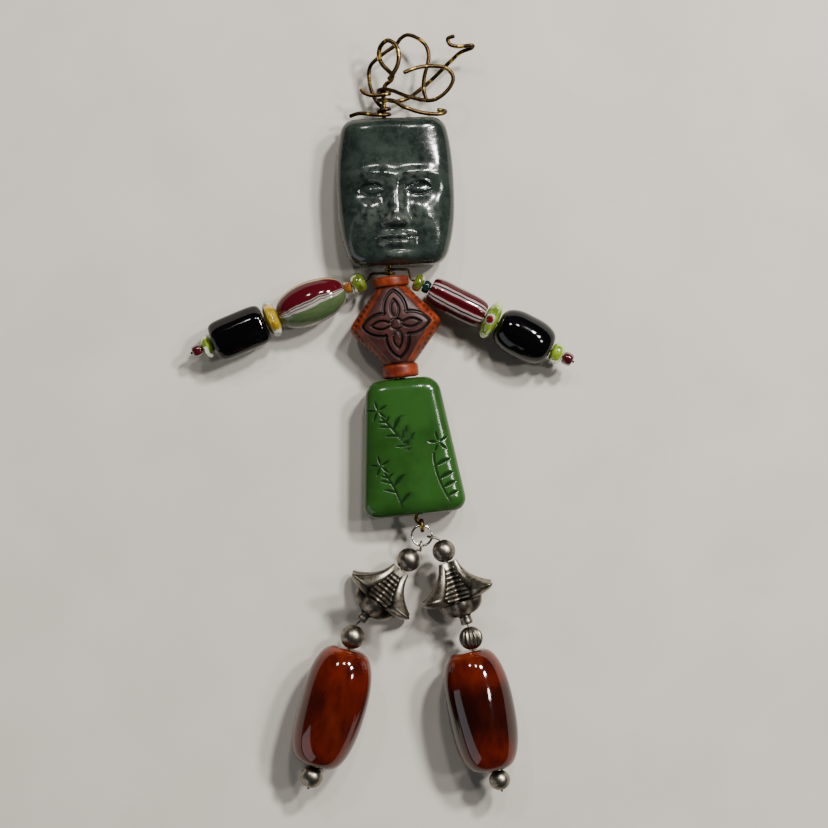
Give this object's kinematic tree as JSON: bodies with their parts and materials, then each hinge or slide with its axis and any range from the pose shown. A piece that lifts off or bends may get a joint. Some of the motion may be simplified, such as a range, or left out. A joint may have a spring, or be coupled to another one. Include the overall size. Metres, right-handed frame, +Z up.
{
  "type": "beaded wire figure",
  "caption": "Doll-like figure of ceramic, glass, stone and silver beads on bent wire, with curled wire hair, hinged arms and dangling legs.",
  "frame": {"origin": "middle of the figure's outline, at the surface it lies on", "axes": "+Z up out of the face, +Y towards the head and hair, +X to the viewer's right"},
  "size_m": [0.0669, 0.1319, 0.0119],
  "materials": {
    "bronze_wire": "darkened bronze wire, worn gold on bends",
    "antique_silver": "antiqued silver, dark in the recesses",
    "steel_ring": "bright round wire",
    "head_glaze": "glossy grey-green glaze, dark where it pools",
    "red_clay": "waxed terracotta red, black in the grooves",
    "green_glaze": "satin-gloss leaf green glaze",
    "carnelian": "polished translucent orange-brown carnelian",
    "olive_glass": "translucent olive glass",
    "amber_glass": "gold-lined amber glass",
    "striped_glass": "opaque cane glass with lengthwise stripes",
    "yellow_glass": "honey yellow lampwork with eye spots",
    "green_glass": "lime green lampwork with eye spots",
    "black_glass": "glossy black glass",
    "lime_glass": "clear lime glass",
    "red_glass": "dark red glass",
    "teal_glass": "dark teal iridescent glass"
  },
  "bodies": {
    "core": {"core_wire": "bronze_wire", "hair_wire_tall": "bronze_wire", "hair_wire_tail": "bronze_wire", "hair_wire_loop": "bronze_wire"},
    "head": {"head_bead": "head_glaze"},
    "torso": {"torso_bead": "red_clay"},
    "skirt": {"skirt_bead": "green_glaze"},
    "left_arm": {"left_arm_wire": "bronze_wire", "left_stopper_seed": "red_glass"},
    "right_arm": {"right_arm_wire": "bronze_wire", "right_stopper_seed": "red_glass"},
    "ring": {"jump_ring": "steel_ring"},
    "left_leg": {"left_leg_wire": "antique_silver", "left_end_ball": "antique_silver"},
    "right_leg": {"right_leg_wire": "antique_silver", "right_end_ball": "antique_silver"},
    "left_olive_seed": {"left_olive_seed": "olive_glass"},
    "left_amber_seed": {"left_amber_seed": "amber_glass"},
    "left_striped_oval": {"left_striped_oval": "striped_glass"},
    "left_yellow_spacer": {"left_yellow_spacer": "yellow_glass"},
    "left_black_tube": {"left_black_tube": "black_glass"},
    "left_lime_rondelle": {"left_lime_rondelle": "lime_glass"},
    "right_olive_seed": {"right_olive_seed": "olive_glass"},
    "right_teal_seed": {"right_teal_seed": "teal_glass"},
    "right_striped_tube": {"right_striped_tube": "striped_glass"},
    "right_green_spacer": {"right_green_spacer": "green_glass"},
    "right_black_oval": {"right_black_oval": "black_glass"},
    "right_lime_bead": {"right_lime_bead": "lime_glass"},
    "left_hip_ball": {"left_hip_ball": "antique_silver"},
    "left_fan_bead": {"left_fan_bead": "antique_silver"},
    "left_knee_ball": {"left_knee_ball": "antique_silver"},
    "left_carnelian": {"left_carnelian": "carnelian"},
    "right_hip_ball": {"right_hip_ball": "antique_silver"},
    "right_fan_bead": {"right_fan_bead": "antique_silver"},
    "right_knee_ball": {"right_knee_ball": "antique_silver"},
    "right_carnelian": {"right_carnelian": "carnelian"}
  },
  "joints": [
    {"name": "arm_left_swing", "type": "hinge", "parent": "core", "child": "left_arm", "pos_m": [0.0015, 0.0241, 0.0042], "axis": [0, 1, 0], "range_deg": [-55, 60]},
    {"name": "arm_right_swing", "type": "hinge", "parent": "core", "child": "right_arm", "pos_m": [0.0015, 0.0241, 0.0042], "axis": [0, -1, 0], "range_deg": [-55, 60]},
    {"name": "hip_ring_tilt", "type": "hinge", "parent": "core", "child": "ring", "pos_m": [0.00711, -0.02014, 0.00505], "axis": [1, 0, 0], "range_deg": [-60, 40]},
    {"name": "leg_left_swing", "type": "hinge", "parent": "ring", "child": "left_leg", "pos_m": [0.00711, -0.02189, 0.00505], "axis": [0, 0, -1], "range_deg": [-3, 45]},
    {"name": "leg_right_swing", "type": "hinge", "parent": "ring", "child": "right_leg", "pos_m": [0.00711, -0.02189, 0.00505], "axis": [0, 0, 1], "range_deg": [-3, 25]},
    {"name": "spin_head", "type": "hinge", "parent": "core", "child": "head", "pos_m": [0.00103, 0.03769, 0.0042], "axis": [-0.0349, 0.9994, 0], "continuous": true},
    {"name": "spin_torso", "type": "hinge", "parent": "core", "child": "torso", "pos_m": [0.00253, 0.01461, 0.0042], "axis": [-0.108, 0.9942, 0], "continuous": true},
    {"name": "spin_skirt", "type": "hinge", "parent": "core", "child": "skirt", "pos_m": [0.00482, -0.00647, 0.0042], "axis": [-0.108, 0.9942, 0], "continuous": true},
    {"name": "spin_left_olive_seed", "type": "hinge", "parent": "left_arm", "child": "left_olive_seed", "pos_m": [-0.00395, 0.02197, 0.0042], "axis": [-0.9222, -0.3867, 0], "continuous": true},
    {"name": "spin_left_amber_seed", "type": "hinge", "parent": "left_arm", "child": "left_amber_seed", "pos_m": [-0.0058, 0.02119, 0.0042], "axis": [-0.9222, -0.3867, 0], "continuous": true},
    {"name": "spin_left_striped_oval", "type": "hinge", "parent": "left_arm", "child": "left_striped_oval", "pos_m": [-0.01216, 0.01852, 0.0042], "axis": [-0.9222, -0.3867, 0], "continuous": true},
    {"name": "spin_left_yellow_spacer", "type": "hinge", "parent": "left_arm", "child": "left_yellow_spacer", "pos_m": [-0.01894, 0.01568, 0.0042], "axis": [-0.9222, -0.3867, 0], "continuous": true},
    {"name": "spin_left_black_tube", "type": "hinge", "parent": "left_arm", "child": "left_black_tube", "pos_m": [-0.02461, 0.0133, 0.0042], "axis": [-0.9222, -0.3867, 0], "continuous": true},
    {"name": "spin_left_lime_rondelle", "type": "hinge", "parent": "left_arm", "child": "left_lime_rondelle", "pos_m": [-0.03014, 0.01098, 0.0042], "axis": [-0.9222, -0.3867, 0], "continuous": true},
    {"name": "spin_right_olive_seed", "type": "hinge", "parent": "right_arm", "child": "right_olive_seed", "pos_m": [0.00653, 0.02202, 0.0042], "axis": [0.891, -0.454, 0], "continuous": true},
    {"name": "spin_right_teal_seed", "type": "hinge", "parent": "right_arm", "child": "right_teal_seed", "pos_m": [0.00791, 0.02132, 0.0042], "axis": [0.891, -0.454, 0], "continuous": true},
    {"name": "spin_right_striped_tube", "type": "hinge", "parent": "right_arm", "child": "right_striped_tube", "pos_m": [0.01325, 0.0186, 0.0042], "axis": [0.891, -0.454, 0], "continuous": true},
    {"name": "spin_right_green_spacer", "type": "hinge", "parent": "right_arm", "child": "right_green_spacer", "pos_m": [0.01913, 0.0156, 0.0042], "axis": [0.891, -0.454, 0], "continuous": true},
    {"name": "spin_right_black_oval", "type": "hinge", "parent": "right_arm", "child": "right_black_oval", "pos_m": [0.02492, 0.01265, 0.0042], "axis": [0.891, -0.454, 0], "continuous": true},
    {"name": "spin_right_lime_bead", "type": "hinge", "parent": "right_arm", "child": "right_lime_bead", "pos_m": [0.03058, 0.00977, 0.0042], "axis": [0.891, -0.454, 0], "continuous": true},
    {"name": "spin_left_hip_ball", "type": "hinge", "parent": "left_leg", "child": "left_hip_ball", "pos_m": [0.0048, -0.02605, 0.00595], "axis": [0.621, 0.7838, 0], "continuous": true},
    {"name": "spin_left_fan_bead", "type": "hinge", "parent": "left_leg", "child": "left_fan_bead", "pos_m": [0.00346, -0.02774, 0.00595], "axis": [0.621, 0.7838, 0], "continuous": true},
    {"name": "spin_left_knee_ball", "type": "hinge", "parent": "left_leg", "child": "left_knee_ball", "pos_m": [-0.0049, -0.0394, 0.00595], "axis": [0.2821, 0.9594, 0], "continuous": true},
    {"name": "spin_left_carnelian", "type": "hinge", "parent": "left_leg", "child": "left_carnelian", "pos_m": [-0.00848, -0.05158, 0.00595], "axis": [0.2821, 0.9594, 0], "continuous": true},
    {"name": "spin_right_hip_ball", "type": "hinge", "parent": "right_leg", "child": "right_hip_ball", "pos_m": [0.0109, -0.0245, 0.00595], "axis": [-0.3089, 0.9511, 0], "continuous": true},
    {"name": "spin_right_fan_bead", "type": "hinge", "parent": "right_leg", "child": "right_fan_bead", "pos_m": [0.01155, -0.0265, 0.00595], "axis": [-0.3089, 0.9511, 0], "continuous": true},
    {"name": "spin_right_knee_ball", "type": "hinge", "parent": "right_leg", "child": "right_knee_ball", "pos_m": [0.0156, -0.0396, 0.00595], "axis": [-0.1987, 0.9801, 0], "continuous": true},
    {"name": "spin_right_carnelian", "type": "hinge", "parent": "right_leg", "child": "right_carnelian", "pos_m": [0.01811, -0.052, 0.00595], "axis": [-0.1987, 0.9801, 0], "continuous": true}
  ]
}
